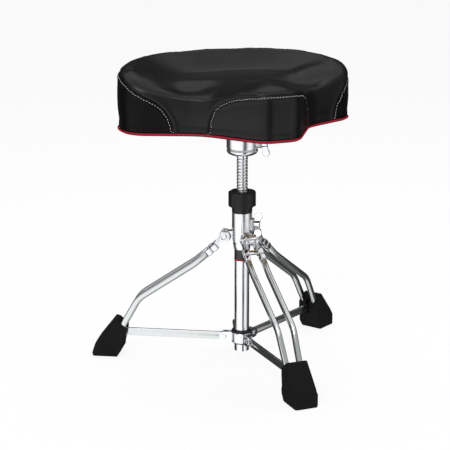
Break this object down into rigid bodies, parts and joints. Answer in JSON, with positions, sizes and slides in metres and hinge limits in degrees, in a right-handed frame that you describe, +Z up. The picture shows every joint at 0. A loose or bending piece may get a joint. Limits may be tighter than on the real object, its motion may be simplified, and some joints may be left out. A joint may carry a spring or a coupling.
{
  "type": "drum throne",
  "caption": "Folding stool for a drummer: a padded saddle seat swivels on a height-adjustable threaded rod over a double-braced folding tripod with rubber feet.",
  "frame": {"origin": "on the floor, at the centre of the object's plan; the column's axis stands 52.0 mm behind it", "axes": "+Z up along the column; -Y to the front, where the seat's nose and the front leg point; +X to the sitter's left"},
  "size_m": [0.5296, 0.4879, 0.588],
  "materials": {
    "chrome": "bright chrome plate",
    "zinc_steel": "zinc plated steel",
    "vinyl": "semi-gloss black vinyl with a light grain",
    "piping": "satin red vinyl",
    "plywood": "bare birch plywood",
    "black_plastic": "moulded black plastic",
    "black_band": "gloss black film",
    "nylon": "natural nylon",
    "rubber": "matte moulded rubber"
  },
  "bodies": {
    "base": {"base_tube": "chrome", "tube_plug": "black_plastic", "tube_band": "black_band", "band_trim": "piping", "upper_casting": "chrome", "casting_bush": "nylon", "hinge_bolts": "chrome", "hinge_nuts": "chrome"},
    "rod": {"threaded_rod": "chrome", "rod_guide": "nylon", "rod_guide_screw": "zinc_steel", "thrust_washer": "nylon"},
    "height_nut": {"height_nut": "black_plastic", "nut_insert": "zinc_steel"},
    "seat": {"seat_cushion": "vinyl", "seat_piping": "piping", "seat_board": "plywood", "seat_flange": "zinc_steel", "flange_screws": "zinc_steel", "tee_nuts": "zinc_steel", "seat_hub": "chrome", "hub_cap": "chrome", "hub_bush": "nylon"},
    "seat_wing_bolt": {"seat_wing_bolt": "chrome"},
    "casting_wing_bolt": {"casting_wing_bolt": "chrome"},
    "collar": {"lower_collar": "chrome", "collar_bush": "black_plastic", "collar_rivets": "chrome"},
    "collar_wing_bolt": {"collar_wing_bolt": "chrome"},
    "front_leg": {"front_leg_yoke": "chrome", "front_leg_ferrules": "chrome", "front_leg_braces": "chrome", "front_foot": "rubber"},
    "front_strut": {"front_strut": "chrome"},
    "left_leg": {"left_leg_yoke": "chrome", "left_leg_ferrules": "chrome", "left_leg_braces": "chrome", "left_foot": "rubber"},
    "left_strut": {"left_strut": "chrome"},
    "right_leg": {"right_leg_yoke": "chrome", "right_leg_ferrules": "chrome", "right_leg_braces": "chrome", "right_foot": "rubber"},
    "right_strut": {"right_strut": "chrome"}
  },
  "joints": [
    {"name": "rod_slide", "type": "slide", "parent": "base", "child": "rod", "axis": [0, 0, 1], "range_m": [-0.065, 0.085]},
    {"name": "nut_spin", "type": "hinge", "parent": "base", "child": "height_nut", "pos_m": [0, 0.052, 0.2974], "axis": [0, 0, 1], "range_deg": [-4824, 3691]},
    {"name": "seat_swivel", "type": "hinge", "parent": "rod", "child": "seat", "pos_m": [0, 0.052, 0.4185], "axis": [0, 0, 1], "continuous": true},
    {"name": "seat_clamp", "type": "hinge", "parent": "seat", "child": "seat_wing_bolt", "pos_m": [0.03204, 0.0335, 0.431], "axis": [0.866, -0.5, 0], "range_deg": [0, 360]},
    {"name": "rod_clamp", "type": "hinge", "parent": "base", "child": "casting_wing_bolt", "pos_m": [0.01992, 0.0405, 0.272], "axis": [0.866, -0.5, 0], "range_deg": [0, 360]},
    {"name": "collar_clamp", "type": "hinge", "parent": "collar", "child": "collar_wing_bolt", "pos_m": [0, 0.079, 0.046], "axis": [0, 1, 0], "range_deg": [0, 360]},
    {"name": "leg_fold", "type": "hinge", "parent": "base", "child": "front_leg", "pos_m": [0, 0.018, 0.248], "axis": [1, 0, 0], "range_deg": [0, 36]},
    {"name": "left_leg_fold", "type": "hinge", "parent": "base", "child": "left_leg", "pos_m": [-0.02944, 0.069, 0.248], "axis": [-0.5, -0.866, 0], "range_deg": [0, 36.1]},
    {"name": "right_leg_fold", "type": "hinge", "parent": "base", "child": "right_leg", "pos_m": [0.02944, 0.069, 0.248], "axis": [-0.5, 0.866, 0], "range_deg": [0, 36.1]},
    {"name": "collar_slide", "type": "slide", "parent": "base", "child": "collar", "axis": [0, 0, 1], "range_m": [0, 0.12505]},
    {"name": "front_strut_fold", "type": "hinge", "parent": "collar", "child": "front_strut", "pos_m": [0, 0.018, 0.046], "axis": [1, 0, 0], "range_deg": [0, 78.72]},
    {"name": "left_strut_fold", "type": "hinge", "parent": "collar", "child": "left_strut", "pos_m": [-0.02944, 0.069, 0.046], "axis": [-0.5, -0.866, 0], "range_deg": [0, 78.72]},
    {"name": "right_strut_fold", "type": "hinge", "parent": "collar", "child": "right_strut", "pos_m": [0.02944, 0.069, 0.046], "axis": [-0.5, 0.866, 0], "range_deg": [0, 78.72]}
  ],
  "couplings": [
    {"joint": "nut_spin", "follows": "rod_slide", "rad_per_m": -989.48},
    {"joint": "left_leg_fold", "follows": "leg_fold", "ratio": 1},
    {"joint": "right_leg_fold", "follows": "leg_fold", "ratio": 1},
    {"joint": "collar_slide", "follows": "leg_fold", "m_per_rad": 0.19855},
    {"joint": "front_strut_fold", "follows": "leg_fold", "ratio": 2.1811},
    {"joint": "left_strut_fold", "follows": "leg_fold", "ratio": 2.1811},
    {"joint": "right_strut_fold", "follows": "leg_fold", "ratio": 2.1811}
  ]
}
